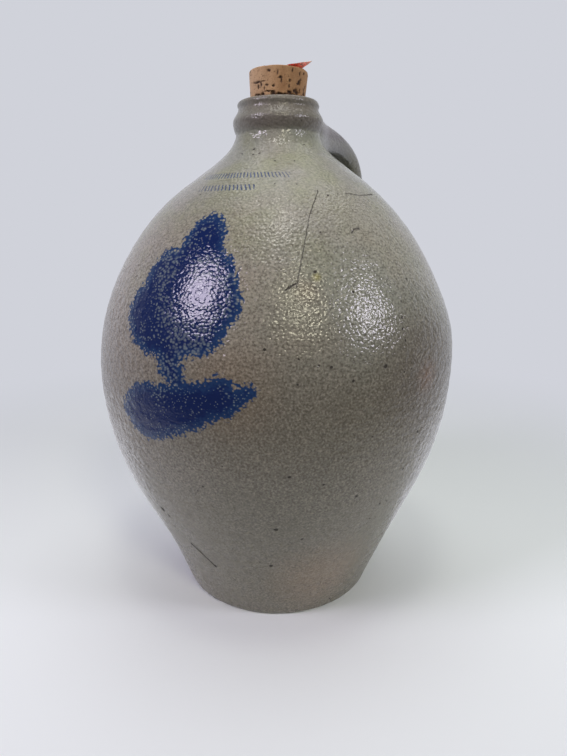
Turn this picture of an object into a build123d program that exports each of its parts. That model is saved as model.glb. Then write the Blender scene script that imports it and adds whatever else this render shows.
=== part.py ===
# An ovoid stoneware jug: a bottom and a top section, thrown apart and luted together at the belly,
# a pulled strap handle luted to the neck and the shoulder, a tapered cork and a paper tag on the cork.
# Millimetres, +Z up, origin at the centre of the foot, handle towards +X.
import os
from math import cos, radians, sin

from build123d import *

# Cork: a stock tapered stopper
CORK_LENGTH = 38.0
CORK_TOP_RADIUS = 19.3
CORK_TIP_RADIUS = 16.2
CORK_EDGE_ROUND = 1.2
CORK_SEAT_DEPTH = 19.8
CORK_CLEARANCE = 0.25

# Clay walls
WALL = 9.5
NECK_WALL = 11.2
FLOOR_THICKNESS = 12.0
FLOOR_ROUND = 14.0

# Bottom section, from the foot up to the belly
# A form gives points of a curve as (share of the height, share of the change in radius)
FOOT_RADIUS = 68.7
FOOT_ROUND = 3.5
FOOT_LEAN = 21.0
BELLY_RADIUS = 123.5
BELLY_HEIGHT = 166.0
LOWER_FORM = ((0.27, 0.325), (0.60, 0.775))

# Top section, from the belly up to the waist under the ring
SHOULDER_RISE = 153.6
SHOULDER_FORM = ((0.449, 0.19), (0.742, 0.558), (0.892, 0.878))
NECK_LEAN = 7.0

# Ring, cove and lip of the mouth
RING_SWELL = 1.8
RING_RISE = 7.6
RING_LEAN = 24.0
COVE_DEPTH = 3.5
COVE_RISE = 8.2
LIP_SWELL = 0.7
LIP_RISE = 2.3
LIP_ROUND = 2.3
MOUTH_ROUND = 1.0

# Luted seam: a tongue under the top section stands in a groove in the rim of the bottom section
TONGUE_WIDTH = 4.0
TONGUE_TIP_WIDTH = 2.0
TONGUE_HEIGHT = 2.5
LUTE_GAP = 0.1

# Strap handle, measured along its middle line, which leaves the neck level and turns down to the shoulder
HANDLE_WIDTH = 35.0
HANDLE_THICKNESS = 11.5
HANDLE_EDGE_ROUND = 4.8
HANDLE_REACH = 58.5
HANDLE_STAND = 20.0
HANDLE_BEND_OUT = 46.0
HANDLE_BEND_DOWN = 24.0
HANDLE_BEDDING = 20.0

# Roots of the handle, which swell towards the neck and spread on the shoulder
ROOT_DROP = 6.6
ROOT_WIDTH = 42.0
ROOT_HEIGHT = 22.0
ROOT_FLARE = 60.0
SPREAD_WIDTH = 43.0
SPREAD_THICKNESS = 17.0
SPREAD_FLARE = 30.0

# Paper tag: a slip that lies on the cork with one end curled up
TAG_ANGLE = -105.0
TAG_FLAT = 9.0
TAG_WIDTH = 12.0
TAG_THICKNESS = 0.4
TAG_CURL_RADIUS = 11.5
TAG_CURL_TURN = 56.0
TAG_POINT_CUT = 8.0
TAG_INSET = 0.6

# Heights and radii that follow from the sizes above
waist_radius = CORK_TIP_RADIUS + CORK_CLEARANCE + NECK_WALL
waist_height = BELLY_HEIGHT + SHOULDER_RISE
ring_radius = waist_radius + RING_SWELL
ring_height = waist_height + RING_RISE
cove_radius = ring_radius - COVE_DEPTH
cove_height = ring_height + COVE_RISE
lip_radius = cove_radius + LIP_SWELL
lip_height = cove_height + LIP_RISE + LIP_ROUND
cork_tip_height = lip_height - CORK_SEAT_DEPTH
cork_top_height = cork_tip_height + CORK_LENGTH
UP = (0, 1)

# Shares of the outer lines that the lining follows, up to the rim below and towards the throat above
LOWER_LINING = (0.0, 0.25, 0.5, 0.75, 1.0)
UPPER_LINING = (0.0, 0.16, 0.32, 0.48, 0.64, 0.78, 0.88)

# Shares of the handle's line where its section is drawn, and the most of a thickness that its edge rounds
SECTION_SHARES = [step / 12 for step in range(13)]
EDGE_ROUND_LIMIT = 0.45

# Halvings that find a point of a line to far less than a micrometre
HALVINGS = 40


def bore_radius(height):
    """Radius of the tapered mouth, which runs beside the cork at its clearance."""
    share = (height - cork_tip_height) / CORK_LENGTH
    return CORK_TIP_RADIUS + share * (CORK_TOP_RADIUS - CORK_TIP_RADIUS) + CORK_CLEARANCE


def leaning(angle):
    """Direction that leans outwards from straight up by an angle in degrees."""
    return (sin(radians(angle)), cos(radians(angle)))


def form_points(start, end, form):
    """Points of a curve between two ends, from its form."""
    return [
        (start[0] + out * (end[0] - start[0]), start[1] + up * (end[1] - start[1])) for up, out in form
    ]


def lower_wall(grow=0.0):
    """Outer line of the bottom section, from the foot to the belly."""
    foot = (FOOT_RADIUS + grow, 0)
    belly = (BELLY_RADIUS + grow, BELLY_HEIGHT)
    return Spline(foot, *form_points(foot, belly, LOWER_FORM), belly, tangents=[leaning(FOOT_LEAN), UP])


def shoulder_wall(grow=0.0):
    """Outer line of the top section, from the belly to the waist under the ring."""
    belly = (BELLY_RADIUS + grow, BELLY_HEIGHT)
    waist = (waist_radius + grow, waist_height)
    middle = form_points(belly, waist, SHOULDER_FORM)
    return Spline(belly, *middle, waist, tangents=[UP, leaning(-NECK_LEAN)])


def collar_wall(grow=0.0):
    """Outer line of the ring, the cove above it and the start of the lip."""
    return Spline(
        (waist_radius + grow, waist_height),
        (ring_radius + grow, ring_height),
        (cove_radius + grow, cove_height),
        (lip_radius + grow, lip_height - LIP_ROUND),
        tangents=[leaning(RING_LEAN), UP, UP, UP],
    )


def inside(line, shares, thickness):
    """Points at shares of a line's length, moved in from it by the thickness of the wall."""
    points = []
    for share in shares:
        at = line.position_at(share)
        along = line.tangent_at(share)
        points.append((at.X - thickness * along.Y, at.Y + thickness * along.X))
    return points


def turned(lines):
    """Solid turned about Z from a closed outline drawn as radius and height."""
    return revolve(Plane.XZ * make_face(lines), Axis.Z)


def tongue_outline(grow=0.0):
    """Outline of the seam's tongue, in the middle of the wall, grown on its flanks and tip."""
    middle = BELLY_RADIUS - WALL / 2
    half = TONGUE_WIDTH / 2 + grow
    half_tip = TONGUE_TIP_WIDTH / 2 + grow
    tip = BELLY_HEIGHT - TONGUE_HEIGHT - grow
    return [
        (middle - half, BELLY_HEIGHT),
        (middle - half_tip, tip),
        (middle + half_tip, tip),
        (middle + half, BELLY_HEIGHT),
    ]


def lower_body():
    """Bottom section: foot, floor and wall, with the seam's groove in its rim."""
    wall = lower_wall()
    outline = Polyline((BELLY_RADIUS, BELLY_HEIGHT), (0, BELLY_HEIGHT), (0, 0), (FOOT_RADIUS, 0))
    solid = turned([wall, outline])
    solid = fillet(solid.edges().group_by(Axis.Z)[0], FOOT_ROUND)

    lining = inside(wall, LOWER_LINING, WALL)
    low, high = lining[0], lining[-1]
    hollow = turned([Spline(*lining), Polyline(high, (0, high[1]), (0, low[1]), low)])
    hollow -= Pos(Z=FLOOR_THICKNESS) * Cylinder(
        BELLY_RADIUS, FLOOR_THICKNESS, align=(Align.CENTER, Align.CENTER, Align.MAX)
    )
    hollow = fillet(hollow.edges().group_by(Axis.Z)[0], FLOOR_ROUND)

    groove = turned(Polyline(*tongue_outline(LUTE_GAP), close=True))
    return solid - hollow - groove


def upper_body():
    """Top section: shoulder, neck, ring, lip and tapered mouth, with the seam's tongue under its rim."""
    wall = shoulder_wall()
    mouth_height = lip_height - MOUTH_ROUND
    mouth_radius = bore_radius(mouth_height)
    throat = (bore_radius(cork_tip_height), cork_tip_height)
    lining = inside(wall, UPPER_LINING, WALL)
    return turned(
        [
            wall,
            collar_wall(),
            CenterArc((lip_radius - LIP_ROUND, lip_height - LIP_ROUND), LIP_ROUND, 0, 90),
            Line((lip_radius - LIP_ROUND, lip_height), (mouth_radius + MOUTH_ROUND, lip_height)),
            CenterArc((mouth_radius + MOUTH_ROUND, mouth_height), MOUTH_ROUND, 90, 90),
            Line((mouth_radius, mouth_height), throat),
            Spline(*lining, throat, tangents=[UP, UP]),
            Polyline(lining[0], *tongue_outline(), (BELLY_RADIUS, BELLY_HEIGHT)),
        ]
    )


def filled_outside(grow):
    """Filled outer form of the whole vessel, which luted pieces are cut by."""
    lip_edge = (lip_radius + grow, lip_height - LIP_ROUND)
    top = lip_height + grow
    outline = Polyline(lip_edge, (lip_edge[0], top), (0, top), (0, 0), (FOOT_RADIUS + grow, 0))
    return turned([lower_wall(grow), shoulder_wall(grow), collar_wall(grow), outline])


def shoulder_height(radius):
    """Height of the shoulder's outer line at a radius, found by halving."""
    wall = shoulder_wall()
    low, high = 0.0, 1.0
    for _ in range(HALVINGS):
        share = (low + high) / 2
        if wall.position_at(share).X > radius:
            low = share
        else:
            high = share
    return wall.position_at(low).Y


def handle_line():
    """Middle line of the strap, from inside the neck's wall to inside the shoulder's wall."""
    out, down = Vector(1, 0), Vector(0, -1)
    root = Vector(waist_radius, ring_height - ROOT_DROP)
    reach = waist_radius + HANDLE_REACH
    spread = Vector(reach, shoulder_height(reach))
    turn = spread - down * HANDLE_STAND
    return Wire(
        [
            Line(root - out * HANDLE_BEDDING, root),
            Bezier(root, root + out * HANDLE_BEND_OUT, turn - down * HANDLE_BEND_DOWN, turn),
            Line(turn, spread + down * HANDLE_BEDDING),
        ]
    )


def strap_handle():
    """Strap lofted along its middle line, its section swelling by a square law towards each root."""
    line = handle_line()
    free_length = line.length - 2 * HANDLE_BEDDING

    def flare(distance, length):
        return min(1.0, max(0.0, 1 - distance / length)) ** 2

    sections = []
    for share in SECTION_SHARES:
        from_neck = share * line.length - HANDLE_BEDDING
        at_root = flare(from_neck, ROOT_FLARE)
        at_spread = flare(free_length - from_neck, SPREAD_FLARE)
        width = HANDLE_WIDTH + at_root * (ROOT_WIDTH - HANDLE_WIDTH)
        width += at_spread * (SPREAD_WIDTH - HANDLE_WIDTH)
        thickness = HANDLE_THICKNESS + at_root * (ROOT_HEIGHT - HANDLE_THICKNESS)
        thickness += at_spread * (SPREAD_THICKNESS - HANDLE_THICKNESS)
        edge_round = min(HANDLE_EDGE_ROUND, EDGE_ROUND_LIMIT * thickness)
        at = line.position_at(share)
        ahead = line.tangent_at(share)
        plane = Plane((at.X, 0, at.Y), x_dir=(0, 1, 0), z_dir=(ahead.X, 0, ahead.Y))
        sections.append(plane * RectangleRounded(width, thickness, edge_round))
    return loft(sections) - filled_outside(LUTE_GAP)


def cork_stopper():
    """Tapered cork with rounded ends."""
    cone = Cone(
        CORK_TIP_RADIUS, CORK_TOP_RADIUS, CORK_LENGTH, align=(Align.CENTER, Align.CENTER, Align.MIN)
    )
    cork = fillet(cone.edges().filter_by(GeomType.CIRCLE), CORK_EDGE_ROUND)
    return Pos(Z=cork_tip_height) * cork


def red_tag():
    """Slip of paper: flat on the cork, then curled up along an arc, its free end cut to a point."""
    turn = radians(TAG_CURL_TURN)
    inner_radius = TAG_CURL_RADIUS - TAG_THICKNESS
    half_flat = TAG_FLAT / 2
    centre = (half_flat, TAG_CURL_RADIUS)
    tip_run = half_flat + TAG_CURL_RADIUS * sin(turn)

    def on_curl(radius):
        return (half_flat + radius * sin(turn), TAG_CURL_RADIUS - radius * cos(turn))

    profile = make_face(
        [
            Line((-half_flat, 0), (half_flat, 0)),
            CenterArc(centre, TAG_CURL_RADIUS, -90, TAG_CURL_TURN),
            Line(on_curl(TAG_CURL_RADIUS), on_curl(inner_radius)),
            CenterArc(centre, inner_radius, -90, TAG_CURL_TURN),
            Polyline((half_flat, TAG_THICKNESS), (-half_flat, TAG_THICKNESS), (-half_flat, 0)),
        ]
    )
    strip = extrude(Plane.XZ * profile, TAG_WIDTH)
    plan = Polyline(
        (-half_flat, 0),
        (tip_run - TAG_POINT_CUT, 0),
        (tip_run, -TAG_WIDTH),
        (-half_flat, -TAG_WIDTH),
        close=True,
    )
    slip = strip & extrude(make_face(plan), TAG_CURL_RADIUS)
    front = CORK_TOP_RADIUS - TAG_INSET
    across = Pos(Y=TAG_WIDTH - front) * slip
    return Pos(Z=cork_top_height) * Rot(Z=TAG_ANGLE + 90) * across


os.makedirs("parts", exist_ok=True)
for make in (lower_body, upper_body, strap_handle, cork_stopper, red_tag):
    export_step(make(), f"parts/{make.__name__}.step")
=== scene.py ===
# A salt-glazed stoneware jug with a cobalt tree on its front, a strap handle, a cork and a paper tag.
# Sizes are in millimetres and angles in degrees until a mesh is made. Meshes, lamps, the floor and the places
# where a material changes are in metres.
from itertools import product
from types import SimpleNamespace

import bpy
import numpy as np
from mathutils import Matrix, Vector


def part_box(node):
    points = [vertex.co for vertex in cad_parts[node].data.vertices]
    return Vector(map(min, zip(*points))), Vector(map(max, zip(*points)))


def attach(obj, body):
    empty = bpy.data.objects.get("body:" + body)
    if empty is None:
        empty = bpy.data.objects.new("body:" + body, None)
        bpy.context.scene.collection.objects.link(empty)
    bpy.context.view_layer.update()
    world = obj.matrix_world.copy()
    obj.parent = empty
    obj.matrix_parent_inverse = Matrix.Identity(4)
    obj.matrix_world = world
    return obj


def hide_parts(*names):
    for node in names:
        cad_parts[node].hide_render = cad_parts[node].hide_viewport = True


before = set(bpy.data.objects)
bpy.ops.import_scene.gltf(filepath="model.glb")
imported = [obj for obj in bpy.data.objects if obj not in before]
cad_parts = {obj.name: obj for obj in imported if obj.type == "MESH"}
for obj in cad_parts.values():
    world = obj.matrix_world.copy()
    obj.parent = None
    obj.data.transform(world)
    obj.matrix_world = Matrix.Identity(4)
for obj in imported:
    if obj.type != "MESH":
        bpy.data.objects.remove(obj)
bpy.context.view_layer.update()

MM = 0.001
COLUMNS = 480
CURVE_SAMPLES = 4000
SHARP_ANGLE = 50.0

# The front, which the camera faces, as an angle round the jug from the handle, and its right-hand side
FRONT = -143.0
RIGHT = FRONT + 90
FRONT_WAY = np.array((np.cos(np.radians(FRONT)), np.sin(np.radians(FRONT)), 0.0))
RIGHT_WAY = np.array((np.cos(np.radians(RIGHT)), np.sin(np.radians(RIGHT)), 0.0))

# Outline of the jug: the forms give points as (share of the height, share of the change in radius)
BELLY_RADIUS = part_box("lower_body")[1].x / MM
BELLY_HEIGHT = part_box("lower_body")[1].z / MM
LIP_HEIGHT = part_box("upper_body")[1].z / MM
FOOT_RADIUS = 68.7
FOOT_ROUND = 3.5
FOOT_LEAN = 21.0
LOWER_FORM = ((0.27, 0.325), (0.60, 0.775))
SHOULDER_FORM = ((0.449, 0.19), (0.742, 0.558), (0.892, 0.878))
NECK_LEAN = 7.0
WAIST_RADIUS = 27.65
WAIST_HEIGHT = LIP_HEIGHT - 20.4
RING_RADIUS = WAIST_RADIUS + 1.8
RING_HEIGHT = WAIST_HEIGHT + 7.6
RING_LEAN = 24.0
COVE_RADIUS = RING_RADIUS - 3.5
COVE_HEIGHT = RING_HEIGHT + 8.2
LIP_RADIUS = COVE_RADIUS + 0.7
LIP_ROUND = 2.3
MOUTH_ROUND = 1.0
WALL = 9.5
FLOOR_THICKNESS = 12.0
FLOOR_ROUND = 14.0
FLOOR_BEND = FLOOR_ROUND + 3.0
TONGUE_HALF = 2.0
TONGUE_TIP_HALF = 1.0
TONGUE_HEIGHT = 2.5

# Middle ring of underside and floor, rise of the underside in and out, its rim, height of the full relief
POLE_RADIUS = 8.0
UNDERSIDE_RISE = (0.9, 0.7)
UNDERSIDE_RIM = 9.0
RELIEF_START = 12.0

# Rows of points on the stretches of the outline
WALL_ROWS = 118
SHOULDER_ROWS = 112
COLLAR_ROWS = 32
LOWER_LINING_ROWS = 24
UPPER_LINING_ROWS = 28

# Share of the shoulder's points that the top lining follows, and the step between those that it keeps
LINING_SHARE = 0.88
LINING_STEP = 50

# Cork, which the mouth is bored to fit
CORK_TIP_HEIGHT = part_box("cork_stopper")[0].z / MM
CORK_TOP_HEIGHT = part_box("cork_stopper")[1].z / MM
CORK_TIP_RADIUS = 16.2
CORK_TOP_RADIUS = 19.3
CORK_CLEARANCE = 0.25
CORK_EDGE_ROUND = 0.7

# Sideways wander of the jug's middle line to the right of the front, at heights up the jug and its cork
WANDER = (
    (0, 0.0), (45, 0.4), (80, -0.6), (115, -0.8), (166, -0.4), (240, -0.3), (275, 0.2),
    (300, 0.5), (340, 0.9), (364, 1.9),
)


def smooth_curve(points, start=None, end=None, slopes=None, count=400):
    """Points spread evenly along a cubic curve through the given ones.

    The curve runs over chord length. Its slope at each point is the one that keeps the bend even on both
    sides, which is a row of linear equations, with the slopes at the ends given or the chords' own.
    """
    points = np.array(points, float)
    steps = step_lengths(points)
    chords = np.diff(points, axis=0) / steps[:, None]
    if slopes is None:
        size = len(points)
        rows = np.eye(size)
        sides = np.zeros_like(points)
        sides[0] = chords[0] if start is None else start
        sides[-1] = chords[-1] if end is None else end
        inner = np.arange(1, size - 1)
        rows[inner, inner - 1] = 1 / steps[:-1]
        rows[inner, inner] = 2 / steps[:-1] + 2 / steps[1:]
        rows[inner, inner + 1] = 1 / steps[1:]
        sides[inner] = 3 * (chords[:-1] / steps[:-1, None] + chords[1:] / steps[1:, None])
        slopes = np.linalg.solve(rows, sides)
    slopes = np.array(slopes, float)
    along = np.linspace(0, len(steps), CURVE_SAMPLES)
    piece = np.minimum(along.astype(int), len(steps) - 1)
    t = (along - piece)[:, None]
    step = steps[piece][:, None]
    line = (1 + 2 * t) * (1 - t) ** 2 * points[piece] + t * (1 - t) ** 2 * step * slopes[piece]
    line += t**2 * (3 - 2 * t) * points[piece + 1] - t**2 * (1 - t) * step * slopes[piece + 1]
    return spread(line, count)


def step_lengths(line):
    """Lengths of the straight steps between a line's points."""
    return np.linalg.norm(np.diff(line, axis=0), axis=1)


def spread(line, count):
    """The same line with its points spread evenly over its length."""
    length = np.concatenate(([0], np.cumsum(step_lengths(line))))
    even = np.linspace(0, length[-1], count)
    return np.stack([np.interp(even, length, line[:, axis]) for axis in range(line.shape[1])], axis=1)


def straight(*corners, count):
    """Points spread evenly along straight runs from corner to corner."""
    return spread(np.array(corners, float), count)


def arc(centre, radius, start, end, count):
    """Points on an arc: the centre plus the radius times the cosine and sine of angles in degrees."""
    angles = np.radians(np.linspace(start, end, count))
    return np.array(centre) + radius * np.stack((np.cos(angles), np.sin(angles)), axis=1)


def leaning(angle):
    """Direction that leans outwards from straight up by an angle."""
    return (np.sin(np.radians(angle)), np.cos(np.radians(angle)))


def ahead_of(line):
    """Direction of a line at each of its points."""
    ahead = np.gradient(line, axis=0)
    return ahead / np.linalg.norm(ahead, axis=1)[:, None]


def right_of(line):
    """Direction square to a line at each of its points: its own, turned a quarter to the right."""
    ahead = ahead_of(line)
    return np.stack((ahead[:, 1], -ahead[:, 0]), axis=1)


def offset(line, distance):
    """A line moved to its left by a distance, square to its own direction at each point."""
    return line - distance * right_of(line)


def wrapped(degrees):
    """Angles brought between -180 and 180 degrees."""
    return (degrees + 180) % 360 - 180


def form_points(start, end, form):
    """Points between two ends of an outline, from its form."""
    return [(start[0] + out * (end[0] - start[0]), start[1] + up * (end[1] - start[1])) for up, out in form]


# Large odd numbers that mix a cube's corner and a seed into a random value
CORNER_MIX = np.array((73856093, 19349663, 83492791))
SEED_MIX = 2971215073
LAST_MIX = 1274126177


def grain(points, size, seed):
    """Smooth noise from -1 to 1: random values at the corners of cubes of a size, eased between corners."""
    place = points / size
    cell = np.floor(place).astype(np.int64)
    ease = place - cell
    ease = ease * ease * (3 - 2 * ease)
    total = np.zeros(points.shape[:-1])
    for corner in product((0, 1), repeat=3):
        mixed = np.bitwise_xor.reduce((cell + corner) * CORNER_MIX, axis=-1) ^ seed * SEED_MIX
        mixed = (mixed ^ mixed >> 13) * LAST_MIX & 0xFFFFFFFF
        share = np.where(np.array(corner) == 1, ease, 1 - ease).prod(axis=-1)
        total += share * ((mixed ^ mixed >> 16) / 2**31 - 1)
    return total


def wandered(points):
    """Points moved sideways by the wander of the jug's middle line at their heights."""
    heights, shifts = np.array(WANDER).T
    line = smooth_curve(np.stack((heights, shifts), axis=1))
    return points + np.interp(points[..., 2], line[:, 0], line[:, 1])[..., None] * RIGHT_WAY


def placed(name, data):
    """An object with its data, put into the scene."""
    made = bpy.data.objects.new(name, data)
    bpy.context.scene.collection.objects.link(made)
    return made


def mesh_piece(name, grid, body, node, coats, ring=False):
    """A piece from a grid of points, rows by columns, each four neighbours joined by a face.

    The columns close round on themselves. The rows close to a ring where asked; otherwise the first and the
    last are each closed by a fan of triangles to their middle.
    """
    rows, columns = grid.shape[:2]
    row = np.arange(rows if ring else rows - 1)[:, None]
    column = np.arange(columns)[None, :]
    after = (column + 1) % columns
    above = (row + 1) % rows
    corners = ((row, column), (row, after), (above, after), (above, column))
    faces = np.stack([at * columns + along for at, along in corners], axis=-1).reshape(-1, 4).tolist()
    vertices = grid.reshape(-1, 3)
    for first in () if ring else (True, False):
        rim = np.arange(columns) + (0 if first else (rows - 1) * columns)
        onward = np.roll(rim, -1)
        fan = (onward, rim) if first else (rim, onward)
        faces += np.stack((*fan, np.full(columns, len(vertices))), axis=1).tolist()
        vertices = np.vstack((vertices, vertices[rim].mean(0)))
    mesh = bpy.data.meshes.new(name)
    mesh.from_pydata((vertices * MM).tolist(), [], faces)
    mesh.polygons.foreach_set("use_smooth", np.ones(len(faces), bool))
    mesh.set_sharp_from_angle(angle=np.radians(SHARP_ANGLE))
    for coat in coats:
        mesh.materials.append(coat)
    piece = placed(name, mesh)
    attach(piece, body)
    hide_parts(node)
    return piece


# Relief of the thrown wall: ridges, which sway round the jug by an angle in radians, orange peel as (size,
# height) and swellings as (most, middle height, reach)
RIDGE_SPACING = 9.5
RIDGE_HEIGHT = 0.09
RIDGE_SWAY = 1.5
RIDGE_FADE = 30.0
PEEL_SIZES = ((5.2, 0.055), (8.5, 0.06), (42.0, 0.22))
SWELLINGS = ((1.7, 296.0, 17.0), (1.7, 196.0, 24.0), (1.9, 331.0, 13.0))


def relief(angles, points):
    """Outward relief of the wall.

    A wave up the height for the throwing ridges, eased noise of several sizes for the glaze's orange peel and
    the hand's unevenness, and swellings, strongest on the right, that fade with the square of the height from
    their middles.
    """
    heights = points[..., 2]
    ridges = np.sin(2 * np.pi * heights / RIDGE_SPACING + RIDGE_SWAY * np.sin(angles))
    raised = RIDGE_HEIGHT * ridges * (1 + grain(points, RIDGE_FADE, 3)) / 2
    for seed, (size, height) in enumerate(PEEL_SIZES):
        raised = raised + height * grain(points, size, 11 + seed)
    side = (1 + np.cos(angles - np.radians(RIGHT))) / 2
    for most, middle, reach in SWELLINGS:
        raised = raised + most * side * np.exp(-(((heights - middle) / reach) ** 2))
    return raised


def join_stretches(*stretches):
    """Stretches of an outline joined end to end: points, ways square to them, shares of the relief, coats.

    A stretch is its points, its share of the relief and the number of its coat.
    """
    points, squares, shares, coats = [], [], [], []
    for place, (line, share, coat) in enumerate(stretches):
        first = min(place, 1)
        points.append(line[first:])
        squares.append(right_of(line)[first:])
        shares.append(np.broadcast_to(share, len(line))[first:])
        coats.append(np.full(len(line) - first, coat))
    return [np.concatenate(parts) for parts in (points, squares, shares, coats)]


def round_angles(columns):
    """Angles of columns spread evenly round a turned piece."""
    return np.linspace(0, 2 * np.pi, columns, endpoint=False)


def turned(line, angles):
    """A line turned about Z: its radius times the cosine and sine of each column's angle, and its height."""
    ways = np.stack((np.cos(angles), np.sin(angles)), axis=1)
    out = line[:, None, :1] * ways
    up = np.broadcast_to(line[:, None, 1:], (*out.shape[:2], 1))
    return np.concatenate((out, up), axis=-1)


def bore_radius(height):
    """Radius of the tapered mouth beside the cork."""
    share = (height - CORK_TIP_HEIGHT) / (CORK_TOP_HEIGHT - CORK_TIP_HEIGHT)
    return CORK_TIP_RADIUS + share * (CORK_TOP_RADIUS - CORK_TIP_RADIUS) + CORK_CLEARANCE


# Main outer lines, from the foot up
foot = (FOOT_RADIUS, 0.0)
belly = (BELLY_RADIUS, BELLY_HEIGHT)
waist = (WAIST_RADIUS, WAIST_HEIGHT)
upright = (0.0, 1.0)
lower_line = smooth_curve([foot, *form_points(foot, belly, LOWER_FORM), belly], leaning(FOOT_LEAN), upright)
shoulder_line = smooth_curve(
    [belly, *form_points(belly, waist, SHOULDER_FORM), waist], upright, leaning(-NECK_LEAN)
)
collar_line = smooth_curve(
    [waist, (RING_RADIUS, RING_HEIGHT), (COVE_RADIUS, COVE_HEIGHT), (LIP_RADIUS, LIP_HEIGHT - LIP_ROUND)],
    slopes=[leaning(RING_LEAN), upright, upright, upright],
)
outer_line = np.vstack((lower_line, shoulder_line[1:]))
GLAZE, SLIP, BARE = range(3)


def tongue_corners():
    """Corners of the seam's tongue, from inside the wall to outside."""
    middle = BELLY_RADIUS - WALL / 2
    tip = BELLY_HEIGHT - TONGUE_HEIGHT
    return (
        (middle - TONGUE_HALF, BELLY_HEIGHT),
        (middle - TONGUE_TIP_HALF, tip),
        (middle + TONGUE_TIP_HALF, tip),
        (middle + TONGUE_HALF, BELLY_HEIGHT),
    )


def lower_outline():
    """Outline of the bottom section: underside, foot, wall, rim with the seam's groove, lining and floor."""
    wall_start = lower_line[np.searchsorted(lower_line[:, 1], FOOT_ROUND)]
    wall = spread(lower_line[lower_line[:, 1] >= FOOT_ROUND], WALL_ROWS)
    bend_start = (wall_start[0] - FOOT_ROUND, 0.0)
    bend = smooth_curve([bend_start, wall_start], (1, 0), leaning(FOOT_LEAN), count=7)
    under = straight(
        (POLE_RADIUS, UNDERSIDE_RISE[0]),
        (bend_start[0] - UNDERSIDE_RIM, UNDERSIDE_RISE[1]),
        bend[0],
        count=12,
    )
    lining = offset(lower_line, WALL)
    lining = lining[lining[:, 1] >= FLOOR_THICKNESS + FLOOR_ROUND]
    corner = smooth_curve(
        [lining[0], (lining[0, 0] - FLOOR_BEND, FLOOR_THICKNESS)], (-0.2, -1), (-1, 0), count=8
    )
    rim = np.array((belly, *tongue_corners()[::-1], (BELLY_RADIUS - WALL, BELLY_HEIGHT)))
    floor = straight(corner[-1], (POLE_RADIUS, FLOOR_THICKNESS), count=8)
    return join_stretches(
        (under, 0, BARE),
        (bend, np.linspace(0, 0.5, len(bend)), GLAZE),
        (wall, np.clip(wall[:, 1] / RELIEF_START, 0, 1), GLAZE),
        (rim, 0, BARE),
        (spread(lining[::-1], LOWER_LINING_ROWS), 0, SLIP),
        (corner, 0, SLIP),
        (floor, 0, SLIP),
    )


def upper_outline():
    """Outline of the top section: shoulder, ring, lip, mouth, lining, and rim with the seam's tongue."""
    lip = arc((LIP_RADIUS - LIP_ROUND, LIP_HEIGHT - LIP_ROUND), LIP_ROUND, 0, 90, 9)
    mouth_height = LIP_HEIGHT - MOUTH_ROUND
    mouth_centre = (bore_radius(mouth_height) + MOUTH_ROUND, mouth_height)
    mouth = arc(mouth_centre, MOUTH_ROUND, 90, 180, 6)
    throat = (bore_radius(CORK_TIP_HEIGHT), CORK_TIP_HEIGHT)
    lining = offset(shoulder_line, WALL)[: int(LINING_SHARE * len(shoulder_line))]
    lining = [throat, *lining[::-LINING_STEP], lining[0]]
    lining = smooth_curve(lining, (0, -1), (0, -1), count=UPPER_LINING_ROWS)
    rim = np.array((lining[-1], *tongue_corners()))
    return join_stretches(
        (spread(shoulder_line, SHOULDER_ROWS), 1, GLAZE),
        (spread(collar_line, COLLAR_ROWS), 0.6, GLAZE),
        (lip, 0.4, GLAZE),
        (straight(lip[-1], mouth[0], count=4), 0.2, GLAZE),
        (mouth, 0, GLAZE),
        (straight(mouth[-1], throat, count=10), 0, SLIP),
        (lining, 0, SLIP),
        (rim, 0, BARE),
    )


# Painted tree and mound, and old damage, as (degrees right of the front, height); the rows of wheel marks as
# (height, first degree, last degree)
TREE = (
    (-26.2, 267.6), (-21, 265.3), (-18.4, 259.3), (-17.4, 250.7), (-14.4, 244.4), (-12.4, 240),
    (-11.4, 233), (-10, 225), (-9.4, 219), (-11.5, 212.5), (-14, 206), (-14.8, 200.5), (-17, 197),
    (-20, 194.5), (-25, 193.2), (-25, 185.6), (-23.6, 181), (-24, 177), (-26.8, 176.5), (-29.5, 179.8),
    (-31.5, 183), (-32.1, 187.8), (-33, 191.7), (-36, 192), (-40, 195.2), (-44, 200), (-46.3, 206.3),
    (-48.2, 213), (-48, 218.7), (-46.6, 224.7), (-44, 229.6), (-43.6, 235.3), (-42.3, 241.6),
    (-40.4, 246.8), (-37.1, 248.3), (-34.4, 247.8), (-33, 255.9), (-31.9, 260.6), (-29.8, 265),
)
MOUND = (
    (-48.2, 157), (-45.6, 164.5), (-42.4, 171), (-37.5, 175), (-33, 175.5), (-28.7, 177.4), (-25, 177.6),
    (-21.3, 180), (-18, 180.4), (-14, 183.7), (-11.8, 182), (-10.5, 178), (-7.6, 180), (-5.5, 179),
    (-6.3, 174), (-8.8, 168.4), (-11, 163.5), (-14.2, 161.6), (-17.6, 158), (-21, 153.8), (-25.6, 150),
    (-30, 146), (-35.3, 143), (-40.3, 143.2), (-43.6, 147), (-46.2, 152),
)
THIN_STROKES = (
    ((-35, 249), (-36, 238), (-36, 226), (-33, 213), (-30, 201)),
    ((-21, 246), (-20, 238), (-15, 229)),
    ((-31, 190), (-28, 184), (-26, 178)),
    ((-30, 203), (-24, 199), (-18, 201)),
)
THIN_REACH = 11.0
FIGURE_RADIUS = 110.0
FIGURE_REACH = 12.0
COGGLE_ROWS = ((290.5, -52, 8), (283.0, -44, -11))
COGGLE_SLOPE = 1.55
COGGLE_SLANT = 0.6
COGGLE_PITCH = 4.2
HAIRLINES = (
    ((19.6, 281.0), (13.4, 269.0), (10.1, 256.5), (7.5, 242.5), (5.8, 230.5)),
    ((34.6, 280.0), (44.0, 279.3), (57.8, 280.5)),
)
NICKS = (
    ((2.8, 229.0), (3.9, 230.2), (5.4, 231.8)),
    ((27.7, 257.9), (29.2, 259.6), (31.5, 259.7)),
)
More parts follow.
